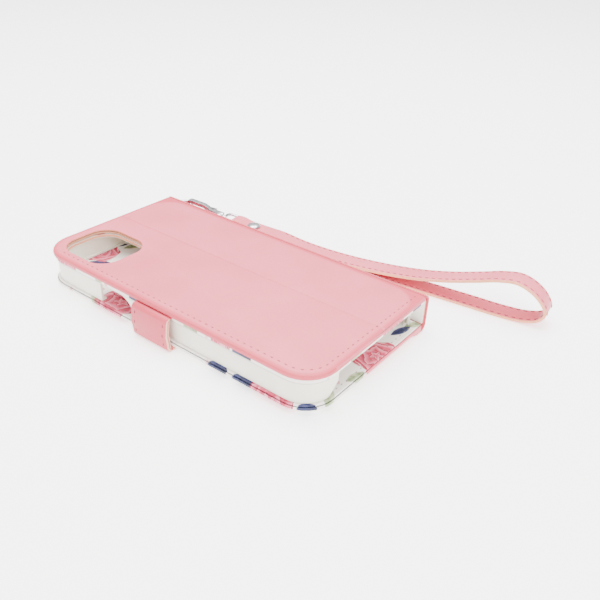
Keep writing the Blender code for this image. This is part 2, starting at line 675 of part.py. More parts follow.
def make_gate(steel, frame):
    """The sprung gate, in its own axes at its pin."""
    px, pz = PIVOT_PLACE
    tip = (GATE_TIP[0] - px, GATE_TIP[1] - pz)
    leaning = math.degrees(math.atan2(tip[1], tip[0]))
    hub = GATE_HALF_HEIGHT + 0.5 * MM
    outline = arc((0, 0), hub, leaning + 70, leaning + 290, 14)
    outline += arc(tip, GATE_HALF_HEIGHT, leaning - 90, leaning + 90)
    gate = add_solid("hook_gate", across(outline, GATE_THICKNESS / 2), steel, frame, OWN_AXES)
    boolean(gate, cylinder_across("cut_gate_hole", (0, 0), PIN_RADIUS + GAP, 2 * MM, frame, OWN_AXES))


def make_eye(steel, frame):
    """The swivel eye: a headed post in the barrel, and a loop whose far side is the strap's bar."""
    start = BARREL_START + 0.8 * MM + GAP
    neck = start + POST_HEAD
    far = BARREL_END + 1.6 * MM
    profile = [(0, start), (POST_HEAD_RADIUS, start), (POST_HEAD_RADIUS, neck)]
    profile += [(POST_RADIUS, neck), (POST_RADIUS, far), (0, far)]
    post = add_solid("swivel_eye", turn(profile, lengthwise=True), steel, frame, EYE_PLACE)
    radii = (3.4 * MM, 1.8 * MM, 1.8 * MM, 3.4 * MM)
    bar = EYE_BAR
    path = rounded_rectangle(bar - EYE_LENGTH, bar, -EYE_HALF_WIDTH, EYE_HALF_WIDTH, radii)
    boolean(post, add_cutter("join_eye", wire_loop(path, EYE_WIRE), frame, EYE_PLACE), "UNION")


def strap_half_width(along):
    """Half the strap's width: it narrows to pass through the eye."""
    share = min(max(along / STRAP_TAPER, 0), 1)
    eased = share * share * (3 - 2 * share)
    return (STRAP_END_WIDTH + (STRAP_WIDTH - STRAP_END_WIDTH) * eased) / 2


def make_strap(leather, steel, frame):
    """The strap, in its own axes at the eye's bar: one band that folds round the bar, and its rivet."""
    route = smooth_loop([(along * MM, high * MM - EYE_HEIGHT) for along, high in STRAP_ROUTE], STRAP_STEPS)
    strap_outside = STRAP_THICKNESS - STRAP_INSET
    sections = []
    for point, direction in path_directions(route):
        out = Vector((-direction.y, direction.x))
        half = strap_half_width(point.x)
        faces = (point + out * strap_outside, point - out * STRAP_INSET)
        section = [(faces[0].x, -half, faces[0].y), (faces[0].x, half, faces[0].y)]
        section += [(faces[1].x, half, faces[1].y), (faces[1].x, -half, faces[1].y)]
        sections.append(section)
    strap = add_solid("wrist_strap", ring_of_sections(sections), leather, frame, OWN_AXES)

    middles = [high * MM - EYE_HEIGHT for along, high in STRAP_ROUTE if along * MM == RIVET_PLACE]
    upper = max(middles) + strap_outside
    lower = min(middles) - strap_outside
    clear = GAP + 0.15 * MM
    hole = [(0, lower - 2 * MM), (RIVET_SHANK + GAP, lower - 2 * MM)]
    hole += [(RIVET_SHANK + GAP, upper + 2 * MM), (0, upper + 2 * MM)]
    place = Matrix.Translation((RIVET_PLACE, 0, 0))
    boolean(strap, add_cutter("cut_rivet_hole", moved(turn(hole), place), frame, OWN_AXES))

    base = upper + clear
    dome = arc((0, base), RIVET_HEAD, 90, 12)
    dome = [(radius, base + (z - base) * RIVET_DOME / RIVET_HEAD) for radius, z in dome]
    socket = RIVET_SHANK + GAP
    depth = 0.6 * MM
    cap = dome + [(RIVET_HEAD, base), (socket, base), (socket, base + depth), (0, base + depth)]
    add_solid("rivet_cap", moved(turn(cap), place), steel, frame, OWN_AXES)
    flange_top = lower - clear
    flange_low = flange_top - RIVET_FLANGE
    post = [(0, base + depth - GAP), (RIVET_SHANK, base + depth - GAP), (RIVET_SHANK, flange_top)]
    post += [(RIVET_HEAD, flange_top), (RIVET_HEAD, flange_low), (0, flange_low)]
    add_solid("rivet_post", moved(turn(post), place), steel, frame, OWN_AXES)


def moved(bm, matrix):
    bm.transform(matrix)
    return bm


WIRE_POINT = RING_CENTRE + RING_RADIUS * Vector((math.cos(HOOK_HEADING), math.sin(HOOK_HEADING), 0))
EYE_BAR = BARREL_END + 1.2 * MM + EYE_LENGTH
HOOK_AXES = Matrix.Rotation(HOOK_HEADING, 4, "Z") @ Matrix.Rotation(HOOK_PITCH, 4, "Y")
PIVOT_POINT = WIRE_POINT + HOOK_AXES @ Vector((PIVOT_PLACE[0], 0, PIVOT_PLACE[1]))
BAR_POINT = WIRE_POINT + HOOK_AXES @ Vector((EYE_BAR, 0, 0))
EYE_HEIGHT = BAR_POINT.z - FLOOR
SWIVEL_POINT = WIRE_POINT + HOOK_AXES @ Vector((BARREL_END, 0, 0))
HOOK_PLACE = Matrix.Translation((RING_RADIUS, 0, 0)) @ Matrix.Rotation(HOOK_PITCH, 4, "Y")
EYE_PLACE = Matrix.Translation((-BARREL_END, 0, 0))
OWN_AXES = Matrix.Identity(4)


def build():
    clear_scene()
    pink = finish("pink_leather", (0.93, 0.50, 0.52), 0.5)
    printed = finish("floral_leather", (0.90, 0.78, 0.74), 0.5)
    card = finish("grey_board", (0.45, 0.43, 0.40), 0.9)
    moulded = finish("white_tray", (0.86, 0.85, 0.82), 0.45)
    steel = finish("plated_steel", (0.75, 0.75, 0.76), 0.2, 1.0)

    spine = hinge_frame("spine_fold", (0, FOLD_Y, PANEL_TOP))
    cover = hinge_frame("cover_fold", (0, FOLD_Y, FLOOR))
    clasp = hinge_frame("clasp_fold", (0, CLASP_FOLD_Y, PANEL_LOW - 0.1 * MM))
    tip = hinge_frame("clasp_tip_fold", (0, CLASP_FOLD_Y, FLOOR))
    ring = hinge_frame("ring_axis", (RING_CENTRE.x, LOOP_MIDDLE_Y, RING_Z))
    hook = hinge_frame("hook_axis", RING_CENTRE, HOOK_HEADING)
    gate = hinge_frame("gate_axis", PIVOT_POINT, HOOK_HEADING, HOOK_PITCH)
    eye = hinge_frame("eye_axis", SWIVEL_POINT, HOOK_HEADING, HOOK_PITCH)
    strap = hinge_frame("strap_axis", BAR_POINT, STRAP_HEADING)

    camera = camera_cutter("cut_camera", 0)
    make_back(pink, card, printed, camera)
    make_tray(moulded, camera_cutter("cut_camera_in_tray", CAMERA_STEP))
    make_spine(pink, card, printed, spine)
    make_cover(pink, printed, card, printed, steel, cover)
    make_clasp(pink, steel, clasp, tip)
    make_loop(pink, spine)
    make_ring(steel, ring)
    make_hook(steel, hook)
    make_gate(steel, gate)
    make_eye(steel, eye)
    make_strap(pink, steel, strap)


build()
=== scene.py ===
"""The finish of a folio phone case: leather, printed lining, thread, soft plastic and plated steel."""

import json
import math

import bmesh
import bpy
from mathutils import Matrix, Vector
from mathutils.bvhtree import BVHTree


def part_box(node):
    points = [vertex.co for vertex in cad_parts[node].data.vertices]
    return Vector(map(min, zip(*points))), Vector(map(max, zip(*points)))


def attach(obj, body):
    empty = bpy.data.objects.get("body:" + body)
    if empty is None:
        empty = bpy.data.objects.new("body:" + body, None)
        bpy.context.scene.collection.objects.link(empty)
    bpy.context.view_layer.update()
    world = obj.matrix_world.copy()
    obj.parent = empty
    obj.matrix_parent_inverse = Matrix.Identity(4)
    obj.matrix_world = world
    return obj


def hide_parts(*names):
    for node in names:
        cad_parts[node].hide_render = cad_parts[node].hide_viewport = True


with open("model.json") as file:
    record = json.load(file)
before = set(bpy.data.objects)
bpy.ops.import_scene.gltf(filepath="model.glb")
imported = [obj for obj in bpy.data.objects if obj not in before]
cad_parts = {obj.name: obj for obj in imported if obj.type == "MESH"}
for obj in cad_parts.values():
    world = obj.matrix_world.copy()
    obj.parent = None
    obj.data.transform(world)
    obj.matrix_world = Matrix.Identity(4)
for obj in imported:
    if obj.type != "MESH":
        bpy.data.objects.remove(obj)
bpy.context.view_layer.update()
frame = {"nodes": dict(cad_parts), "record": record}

MM = 0.001
BODY_OF = {node: body for body, nodes in frame["record"]["behaviour"]["bodies"].items() for node in nodes}
JOINTS = {joint["name"]: joint for joint in frame["record"]["behaviour"]["joints"]}

# Places that the frame gives
BACK_LOW, BACK_HIGH = (Vector(corner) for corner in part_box("back_leather"))
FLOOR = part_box("clasp_tip_outer")[0][2]
CLASP_LOW, CLASP_HIGH = (Vector(corner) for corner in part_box("clasp_side_outer"))
LINING_LOW, LINING_HIGH = (Vector(corner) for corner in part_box("cover_lining"))
RING_CENTRE = Vector(JOINTS["hook_swing"]["pos_m"])
STRAP_BAR = Vector(JOINTS["strap_swing"]["pos_m"])
STRAP_HEADING = math.radians(7.0)

# The camera stands in front of the clasp, towards the charging end
CAMERA_TARGET = Vector((22.33, 24.97, -13.8)) * MM
CAMERA_AZIMUTH = math.radians(36.67)
CAMERA_ELEVATION = math.radians(31.475)
CAMERA_ROLL = math.radians(2.394)
CAMERA_DISTANCE = 319.48 * MM
CAMERA_LENS = 41.42
CAMERA_SENSOR = 36.0
CAMERA_NEAR = 10.0 * MM

PANEL_CORNER = 14.0 * MM
CREASE_FROM_SIDE = 46.4 * MM
CREASE_Y = BACK_LOW.y + CREASE_FROM_SIDE
CREASE_HALF_WIDTH = 0.6 * MM
# The camera opening's box, with a little room round it
CAMERA_OPENING = ((-74.0 * MM, -35.6 * MM), (-41.2 * MM, -5.8 * MM))
STITCH_PITCH = 3.3 * MM
STITCH_LENGTH = 1.8 * MM
THREAD_WIDTH = 0.55 * MM
# The share of the thread's width by which a stitch's ends dip
STITCH_DIP = 0.45
BACK_STITCH_INSET = 3.7 * MM
BACK_STITCH_START = -67 * MM
COVER_STITCH_INSET = 2.2 * MM
# Rows of stitches stop this far short of the spine
STITCH_END_GAP = 1 * MM
CLASP_STITCH_INSET = 2.0 * MM
CLASP_STITCH_PITCH = 4.4 * MM
# The underside of the back's lining comes down this far, to meet the tray
BACK_LINING_TURN = 0.8 * MM
BOARD_CLEARANCE = 0.02 * MM
LINING_ROUND = 0.12 * MM
RING_RADIUS = 4.2 * MM
RING_WIRE_RADIUS = 0.75 * MM
# The hook's collar, painted in shade, as distances from the ring's centre
COLLAR_START = 13.6 * MM
COLLAR_END = 17.2 * MM

STRAP_WIDTH = 10.8 * MM
STRAP_THICKNESS = 1.3 * MM
STRAP_END_WIDTH = 7.0 * MM
STRAP_TAPER = 8.0 * MM
STRAP_EDGE_ROUND = 0.4 * MM
STRAP_STITCH_INSET = 1.5 * MM
# The strap is sewn between these points of its route, counted from the route's two ends
STRAP_SEWN_FROM = 6
STRAP_SEWN_UP_TO = 4
# The strap's middle line in millimetres: along the strap from the eye's bar, and above the table
STRAP_ROUTE = (
    (-2.9, 5.2), (-0.9, 7.1), (2.6, 7.1), (6.4, 5.4), (11.0, 5.0), (15.0, 4.8), (28.0, 4.4),
    (38.0, 3.1), (50.0, 2.3), (64.0, 2.3), (78.0, 3.0), (94.0, 4.6), (108.0, 6.8), (122.0, 10.2),
    (135.0, 14.4), (145.0, 17.8), (153.0, 19.0), (160.0, 16.6), (165.0, 12.4), (167.2, 8.0),
    (164.8, 4.0), (158.6, 1.6), (149.0, 0.66), (132.0, 0.65), (108.0, 0.65), (84.0, 0.65),
    (64.0, 0.65), (50.0, 0.65), (38.0, 1.45), (28.0, 2.75), (15.0, 3.15), (11.0, 3.35),
    (6.4, 3.4), (2.6, 3.3), (-0.9, 3.4),
)


def linear(colour):
    """An sRGB hex colour as linear red, green, blue and a full alpha."""
    parts = [int(colour[place:place + 2], 16) / 255 for place in (1, 3, 5)]
    return [part / 12.92 if part <= 0.04045 else ((part + 0.055) / 1.055) ** 2.4 for part in parts] + [1.0]


def add(tree, kind, inputs=None, **settings):
    """Add a node with its settings. An input takes a value, or another node's output as a link."""
    made = tree.nodes.new(kind)
    for key, value in settings.items():
        setattr(made, key, value)
    for key, value in (inputs or {}).items():
        if isinstance(value, bpy.types.NodeSocket):
            tree.links.new(value, made.inputs[key])
        else:
            made.inputs[key].default_value = value
    return made


def start_material(name, roughness, metallic=0.0, **sockets):
    """A new material, its node tree and its shader, with the values that are the same all over."""
    material = bpy.data.materials.new(name)
    material.use_nodes = True
    shader = material.node_tree.nodes["Principled BSDF"]
    shader.inputs["Roughness"].default_value = roughness
    shader.inputs["Metallic"].default_value = metallic
    for key, value in sockets.items():
        shader.inputs[key.replace("_", " ")].default_value = value
    return material, material.node_tree, shader


def set_ramp(ramp, stops):
    """Give a colour ramp its stops, as (position, colour) pairs."""
    elements = ramp.color_ramp.elements
    for place, colour in stops[1:-1]:
        elements.new(place)
    for element, (place, colour) in zip(elements, stops):
        element.position = place
        element.color = linear(colour)


# Imitation leather: a thin smooth skin of polyurethane with a fine pressed grain. It gives a soft
# broad shine and a colour that is even but never flat.
GRAIN = 0.7 * MM
GRAIN_DEPTH = 0.04 * MM
CLOUD = 22 * MM


# The painted rim shade starts and is complete at these distances in from the back's outline
RIM_START = 2.6 * MM
RIM_FULL = 0.9 * MM


def paint_rim_shade(tree, place, colour, deep):
    """Deepen a colour towards the back's outline: painted shade where the surface rolls over the edge."""
    middle = (BACK_LOW + BACK_HIGH) / 2
    half = (BACK_HIGH - BACK_LOW) / 2 - Vector((PANEL_CORNER, PANEL_CORNER, 0))
    apart = add(tree, "ShaderNodeVectorMath", {0: place, 1: middle}, operation="SUBTRACT")
    aside = add(tree, "ShaderNodeVectorMath", {0: apart.outputs[0]}, operation="ABSOLUTE")
    beyond = add(tree, "ShaderNodeVectorMath", {0: aside.outputs[0], 1: half}, operation="SUBTRACT")
    outside = add(tree, "ShaderNodeVectorMath", {
        0: beyond.outputs[0], 1: (0.0, 0.0, 0.0)}, operation="MAXIMUM")
    level = add(tree, "ShaderNodeVectorMath", {
        0: outside.outputs[0], 1: (1.0, 1.0, 0.0)}, operation="MULTIPLY")
    away = add(tree, "ShaderNodeVectorMath", {0: level.outputs[0]}, operation="LENGTH")
    share = add(tree, "ShaderNodeMapRange", {
        "Value": away.outputs["Value"], "From Min": PANEL_CORNER - RIM_START,
        "From Max": PANEL_CORNER - RIM_FULL}, interpolation_type="SMOOTHSTEP")
    return add(tree, "ShaderNodeMix", {
        0: share.outputs["Result"], 6: colour, 7: linear(deep)}, data_type="RGBA").outputs[2]


def pink_leather(name, pale, deep, roughness=0.5, rim=None):
    """Pink imitation leather, cloudy between two tones, with painted shade along the back's rim if a rim
    colour is given.
    """
    material, tree, shader = start_material(name, roughness, IOR=1.48)
    place = add(tree, "ShaderNodeTexCoord").outputs["Object"]
    cloud = add(tree, "ShaderNodeTexNoise", {"Vector": place, "Scale": 1 / CLOUD, "Detail": 4.0})
    tone = add(tree, "ShaderNodeValToRGB", {"Fac": cloud.outputs["Fac"]})
    set_ramp(tone, ((0.25, deep), (0.75, pale)))
    cells = add(tree, "ShaderNodeTexVoronoi", {"Vector": place, "Scale": 1 / GRAIN}, feature="SMOOTH_F1")
    fine = add(tree, "ShaderNodeTexNoise", {"Vector": place, "Scale": 1 / (GRAIN / 3), "Detail": 3.0})
    height = add(tree, "ShaderNodeMath", {
        0: cells.outputs["Distance"], 1: fine.outputs["Fac"]}, operation="ADD")
    creases = add(tree, "ShaderNodeMapRange", {
        "Value": cells.outputs["Distance"], "From Min": 0.2, "From Max": 0.8, "To Min": 1.0, "To Max": 0.93})
    shade = add(tree, "ShaderNodeMix", {
        0: 1.0, 6: tone.outputs["Color"], 7: creases.outputs["Result"]},
        data_type="RGBA", blend_type="MULTIPLY")
    gloss = add(tree, "ShaderNodeMapRange", {
        "Value": cloud.outputs["Fac"], "To Min": roughness - 0.07, "To Max": roughness + 0.07})
    bump = add(tree, "ShaderNodeBump", {
        "Height": height.outputs[0], "Strength": 0.5, "Distance": GRAIN_DEPTH})
    colour = shade.outputs[2]
    # Painted rim shade, where a rim colour is given
    if rim:
        colour = paint_rim_shade(tree, place, colour, rim)
    tree.links.new(colour, shader.inputs["Base Color"])
    tree.links.new(gloss.outputs["Result"], shader.inputs["Roughness"])
    tree.links.new(bump.outputs["Normal"], shader.inputs["Normal"])
    return material


# The painted print: roses with folded petals, dark and sage leaves, and sprigs, on warm white. Each
# panel is cut from its own stretch of the print. Places and sizes are in millimetres: a rose is its
# centre and radius, and a leaf its centre, half length, half width and heading in degrees. The roses
# come first, as they lie on top: dark leaves lie under them, then sage leaves, sprigs and the ground.
PRINT_REPEAT = (170.0, 96.0, 200.0)
COVER_ROSES = (
    (-76, -10, 9.5), (76, 6, 11.0), (59, -43, 11.0), (-32, -34, 11.5), (20, -18, 11.0),
    (-32, 3, 12.0), (40, 20, 12.0), (-56, 29, 10.0), (2, 31, 9.5), (-52, -22, 8.0),
)
COVER_DARK_LEAVES = (
    (-76, 1, 4.5, 1.8, 45), (-68, -17, 5.5, 2.0, 35), (74, 28, 6.0, 2.0, 75), (32, -41, 5.5, 3.6, 10),
    (45, -41, 6.0, 3.8, 15), (74, -38, 5.0, 3.0, 50), (-12, -15, 8.0, 2.8, 35), (7, 7, 8.0, 2.6, 120),
    (-46, 13, 7.5, 2.4, 20), (28, 36, 7.0, 2.4, 20), (54, 1, 8.0, 2.6, -30), (-13, 24, 7.0, 2.3, 80),
)
COVER_SAGE_LEAVES = (
    (77, -11, 5.0, 2.0, 80), (76, 36, 5.0, 2.0, 60), (76, -27, 5.5, 2.2, -60), (-69, 6, 6.5, 2.3, 70),
    (2, -31, 8.0, 2.8, 15), (-44, -38, 6.0, 2.2, -40), (25, 5, 8.0, 2.6, 60), (-62, 9, 6.0, 2.2, 20),
    (57, 30, 8.0, 2.6, -20), (-35, 32, 6.5, 2.2, 100), (40, -8, 6.5, 2.2, 150),
)
SPINE_ROSES = ((-45, -3, 7.0), (12, -6, 8.0))
SPINE_DARK_LEAVES = ((-18, -4, 6.0, 2.0, 20), (45, -5, 6.0, 2.0, 160), (-66, -5, 5.0, 1.8, 10))
SPINE_SAGE_LEAVES = ((-30, -7, 5.0, 2.0, -20), (30, -2, 5.5, 2.0, 15))
BACK_ROSES = ((34, -42, 5.5), (-60, -43, 7.0), (79, 14, 8.0), (-79, -8, 8.0), (0, 0, 11.0))
BACK_DARK_LEAVES = (
    (-15, -41, 4.5, 2.6, 10), (44, -41, 6.0, 3.0, 15), (77, -38, 5.0, 2.0, 50), (79, 33, 5.0, 2.0, 85),
)
BACK_SAGE_LEAVES = ((-38, -41, 3.5, 1.6, 0), (17, -41, 5.0, 2.0, 10), (79, -12, 5.0, 2.0, 80))


def nearest_motif(tree, place, motifs):
    """The coordinates of the nearest motif, where each is a disc of radius 1 along its own axes."""
    best = None
    for x, y, length, width, heading in motifs:
        half = [side / 2 for side in PRINT_REPEAT]
        apart = add(tree, "ShaderNodeVectorMath", {0: place, 1: (x, y, 0)}, operation="SUBTRACT")
        wrapped = add(tree, "ShaderNodeVectorMath", {
            0: apart.outputs[0], 1: half, 2: [-side for side in half]}, operation="WRAP")
        turned = add(tree, "ShaderNodeMapping", {
            "Vector": wrapped.outputs[0], "Rotation": (0, 0, math.radians(heading)),
            "Scale": (length, width, 1)}, vector_type="TEXTURE")
        away = add(tree, "ShaderNodeVectorMath", {0: turned.outputs[0]}, operation="LENGTH")
        if best is None:
            best = (turned.outputs[0], away.outputs["Value"])
            continue
        nearer = add(tree, "ShaderNodeMath", {0: away.outputs["Value"], 1: best[1]}, operation="LESS_THAN")
        chosen = add(tree, "ShaderNodeMix", {
            0: nearer.outputs[0], 4: best[0], 5: turned.outputs[0]}, data_type="VECTOR")
        least = add(tree, "ShaderNodeMath", {0: away.outputs["Value"], 1: best[1]}, operation="MINIMUM")
        best = (chosen.outputs[1], least.outputs[0])
    return best


def leaf_colour(tree, place, leaves, ground, stops):
    """Painted leaves over a ground colour: pointed, with a midrib and uneven paint."""
    own, _ = nearest_motif(tree, place, leaves)
    parts = add(tree, "ShaderNodeSeparateXYZ", {"Vector": own})
    along = add(tree, "ShaderNodeMath", {0: parts.outputs["X"], 1: parts.outputs["X"]}, operation="MULTIPLY")
    aside = add(tree, "ShaderNodeMath", {0: parts.outputs["Y"]}, operation="ABSOLUTE")
    both = add(tree, "ShaderNodeMath", {0: along.outputs[0], 1: aside.outputs[0]}, operation="ADD")
    inside = add(tree, "ShaderNodeMapRange", {
        "Value": both.outputs[0], "From Min": 1.04, "From Max": 0.96, "To Min": 0.0, "To Max": 1.0})
    paint = add(tree, "ShaderNodeTexNoise", {"Vector": place, "Scale": 0.55, "Detail": 5.0})
    tone = add(tree, "ShaderNodeMath", {
        0: aside.outputs[0], 1: 0.45, 2: paint.outputs["Fac"]}, operation="MULTIPLY_ADD")
    colours = add(tree, "ShaderNodeValToRGB", {"Fac": tone.outputs[0]})
    set_ramp(colours, stops)
    return add(tree, "ShaderNodeMix", {
        0: inside.outputs["Result"], 6: ground, 7: colours.outputs["Color"]}, data_type="RGBA").outputs[2]


# A rose, in turns of petals from its heart outwards
PETAL_TURNS = 3.2
PETALS_PER_TURN = 5
SCALLOP_DEPTH = 0.5
TURN_STAGGER = 2.1
ROSE_EDGE = 3.5
ROSE_EDGE_SOFT = 0.15
# The span, in millimetres, within which an uneven brush pushes a petal's edge
BRUSH_PUSH = 4.0


def rose_colour(tree, place, ground, roses):
    """Painted roses over a ground colour: turns of scalloped petals, deep in the folds."""
    wobble = add(tree, "ShaderNodeTexNoise", {"Vector": place, "Scale": 0.16, "Detail": 3.0})
    pushed = add(tree, "ShaderNodeVectorMath", {
        0: wobble.outputs["Color"], 1: (BRUSH_PUSH, BRUSH_PUSH, 0.0), 2: place}, operation="MULTIPLY_ADD")
    centred = add(tree, "ShaderNodeVectorMath", {
        0: pushed.outputs[0], 1: (-BRUSH_PUSH / 2, -BRUSH_PUSH / 2, 0.0)}, operation="ADD")
    discs = [(x, y, radius, radius, x * 7) for x, y, radius in roses]
    own, away = nearest_motif(tree, centred.outputs[0], discs)
    parts = add(tree, "ShaderNodeSeparateXYZ", {"Vector": own})
    angle = add(tree, "ShaderNodeMath", {0: parts.outputs["Y"], 1: parts.outputs["X"]}, operation="ARCTAN2")
    turns = add(tree, "ShaderNodeMath", {0: away, 1: PETAL_TURNS}, operation="MULTIPLY")
    turn = add(tree, "ShaderNodeMath", {0: turns.outputs[0]}, operation="FLOOR")
    start = add(tree, "ShaderNodeMath", {0: turn.outputs[0], 1: TURN_STAGGER}, operation="MULTIPLY")
    phase = add(tree, "ShaderNodeMath", {
        0: angle.outputs[0], 1: PETALS_PER_TURN / 2, 2: start.outputs[0]}, operation="MULTIPLY_ADD")
    wave = add(tree, "ShaderNodeMath", {0: phase.outputs[0]}, operation="SINE")
    scallop = add(tree, "ShaderNodeMath", {0: wave.outputs[0]}, operation="ABSOLUTE")
    folded = add(tree, "ShaderNodeMath", {
        0: scallop.outputs[0], 1: SCALLOP_DEPTH, 2: turns.outputs[0]}, operation="MULTIPLY_ADD")
    inside = add(tree, "ShaderNodeMapRange", {
        "Value": folded.outputs[0], "From Min": ROSE_EDGE, "From Max": ROSE_EDGE - ROSE_EDGE_SOFT,
        "To Min": 0.0, "To Max": 1.0})
    petal = add(tree, "ShaderNodeMath", {0: folded.outputs[0]}, operation="FRACT")
    paint = add(tree, "ShaderNodeTexNoise", {"Vector": place, "Scale": 0.5, "Detail": 6.0})
    tone = add(tree, "ShaderNodeMath", {
        0: paint.outputs["Fac"], 1: 0.6, 2: petal.outputs[0]}, operation="MULTIPLY_ADD")
    level = add(tree, "ShaderNodeMapRange", {"Value": tone.outputs[0], "From Min": 0.0, "From Max": 1.5})
    colours = add(tree, "ShaderNodeValToRGB", {"Fac": level.outputs["Result"]})
    set_ramp(colours, ((0.22, "#A01A3C"), (0.45, "#CC3E60"), (0.75, "#E47A90"), (0.99, "#F2B4BE")))
    return add(tree, "ShaderNodeMix", {
        0: inside.outputs["Result"], 6: ground, 7: colours.outputs["Color"]}, data_type="RGBA").outputs[2]


def printed_leather(name, roses, dark_leaves, sage_leaves, upright=False):
    """White imitation leather with the painted print, which lies flat or, if upright, on its edge."""
    material, tree, shader = start_material(name, 0.48, IOR=1.48)
    place = add(tree, "ShaderNodeTexCoord").outputs["Object"]
    if upright:
        parts = add(tree, "ShaderNodeSeparateXYZ", {"Vector": place})
        flat = add(tree, "ShaderNodeCombineXYZ", {"X": parts.outputs["X"], "Y": parts.outputs["Z"]})
    else:
        flat = add(tree, "ShaderNodeVectorMath", {0: place, 1: (1.0, 1.0, 0.0)}, operation="MULTIPLY")
    scaled = add(tree, "ShaderNodeVectorMath", {
        0: flat.outputs[0], "Scale": 1 / MM}, operation="SCALE").outputs[0]
    cloud = add(tree, "ShaderNodeTexNoise", {"Vector": scaled, "Scale": 0.05, "Detail": 3.0})
    ground = add(tree, "ShaderNodeValToRGB", {"Fac": cloud.outputs["Fac"]})
    set_ramp(ground, ((0.3, "#EEE8DF"), (0.7, "#F6F2EB")))
    sprigs = add(tree, "ShaderNodeTexVoronoi", {"Vector": scaled, "Scale": 0.11}, feature="F1")
    sprig = add(tree, "ShaderNodeMapRange", {
        "Value": sprigs.outputs["Distance"], "From Min": 0.16, "From Max": 0.12,
        "To Min": 0.0, "To Max": 0.8})
    colour = add(tree, "ShaderNodeMix", {
        0: sprig.outputs["Result"], 6: ground.outputs["Color"], 7: linear("#DE8F9A")},
        data_type="RGBA").outputs[2]
    sage = ((0.3, "#5C6648"), (0.55, "#83926A"), (0.85, "#B4BE98"))
    colour = leaf_colour(tree, scaled, sage_leaves, colour, sage)
    dark = ((0.3, "#0E1230"), (0.6, "#1B2148"), (0.9, "#3A4070"))
    colour = leaf_colour(tree, scaled, dark_leaves, colour, dark)
    colour = rose_colour(tree, scaled, colour, roses)
    cells = add(tree, "ShaderNodeTexVoronoi", {"Vector": place, "Scale": 1 / GRAIN}, feature="SMOOTH_F1")
    bump = add(tree, "ShaderNodeBump", {
        "Height": cells.outputs["Distance"], "Strength": 0.5, "Distance": GRAIN_DEPTH})
    tree.links.new(colour, shader.inputs["Base Color"])
    tree.links.new(bump.outputs["Normal"], shader.inputs["Normal"])
    return material


# Cut leather and board edge, painted: fibres in layers show through, dull and a little rough.
def painted_edge(name, pale, deep):
    material, tree, shader = start_material(name, 0.62, IOR=1.5)
    place = add(tree, "ShaderNodeTexCoord").outputs["Object"]
    drawn = add(tree, "ShaderNodeMapping", {"Vector": place, "Scale": (1, 1, 5)})
    fibres = add(tree, "ShaderNodeTexNoise", {
        "Vector": drawn.outputs[0], "Scale": 1 / (0.9 * MM), "Detail": 5.0, "Roughness": 0.6})
    tone = add(tree, "ShaderNodeValToRGB", {"Fac": fibres.outputs["Fac"]})
    set_ramp(tone, ((0.3, deep), (0.7, pale)))
    bump = add(tree, "ShaderNodeBump", {
        "Height": fibres.outputs["Fac"], "Strength": 0.4, "Distance": 0.08 * MM})
    tree.links.new(tone.outputs["Color"], shader.inputs["Base Color"])
    tree.links.new(bump.outputs["Normal"], shader.inputs["Normal"])
    return material


# A painted shadow line round the tray, for the shade at a thin step and gap: its height, and how wide its
# dark core and its soft edge are to either side
SHADOW_LINE_HEIGHT = -0.45 * MM
SHADOW_LINE_CORE = 0.1 * MM
SHADOW_LINE_SOFT = 0.3 * MM


# Thermoplastic polyurethane, moulded: a soft satin that lets a little light in, finely eroded.
def moulded_plastic():
    material, tree, shader = start_material(
        "moulded soft plastic", 0.38, IOR=1.5, Subsurface_Weight=0.15, Subsurface_Scale=1.5 * MM)
    shader.inputs["Subsurface Radius"].default_value = (1.0, 0.9, 0.8)
    place = add(tree, "ShaderNodeTexCoord").outputs["Object"]
    cloud = add(tree, "ShaderNodeTexNoise", {"Vector": place, "Scale": 1 / (18 * MM), "Detail": 3.0})
    tone = add(tree, "ShaderNodeValToRGB", {"Fac": cloud.outputs["Fac"]})
    set_ramp(tone, ((0.3, "#E4DFD0"), (0.7, "#EEEADC")))
    sparks = add(tree, "ShaderNodeTexNoise", {"Vector": place, "Scale": 1 / (0.25 * MM), "Detail": 2.0})
    gloss = add(tree, "ShaderNodeMapRange", {"Value": cloud.outputs["Fac"], "To Min": 0.33, "To Max": 0.45})
    bump = add(tree, "ShaderNodeBump", {
        "Height": sparks.outputs["Fac"], "Strength": 0.25, "Distance": 0.02 * MM})
    # A thin band darkened as a painted shadow line.
    height = add(tree, "ShaderNodeSeparateXYZ", {"Vector": place})
    apart = add(tree, "ShaderNodeMath", {0: height.outputs["Z"], 1: SHADOW_LINE_HEIGHT}, operation="SUBTRACT")
    near = add(tree, "ShaderNodeMath", {0: apart.outputs[0]}, operation="ABSOLUTE")
    line = add(tree, "ShaderNodeMapRange", {
        "Value": near.outputs[0], "From Min": SHADOW_LINE_CORE, "From Max": SHADOW_LINE_SOFT,
        "To Min": 0.72, "To Max": 1.0})
    shade = add(tree, "ShaderNodeMix", {
        0: 1.0, 6: tone.outputs["Color"], 7: line.outputs["Result"]}, data_type="RGBA", blend_type="MULTIPLY")
    tree.links.new(shade.outputs[2], shader.inputs["Base Color"])
    tree.links.new(gloss.outputs["Result"], shader.inputs["Roughness"])
    tree.links.new(bump.outputs["Normal"], shader.inputs["Normal"])
    return material


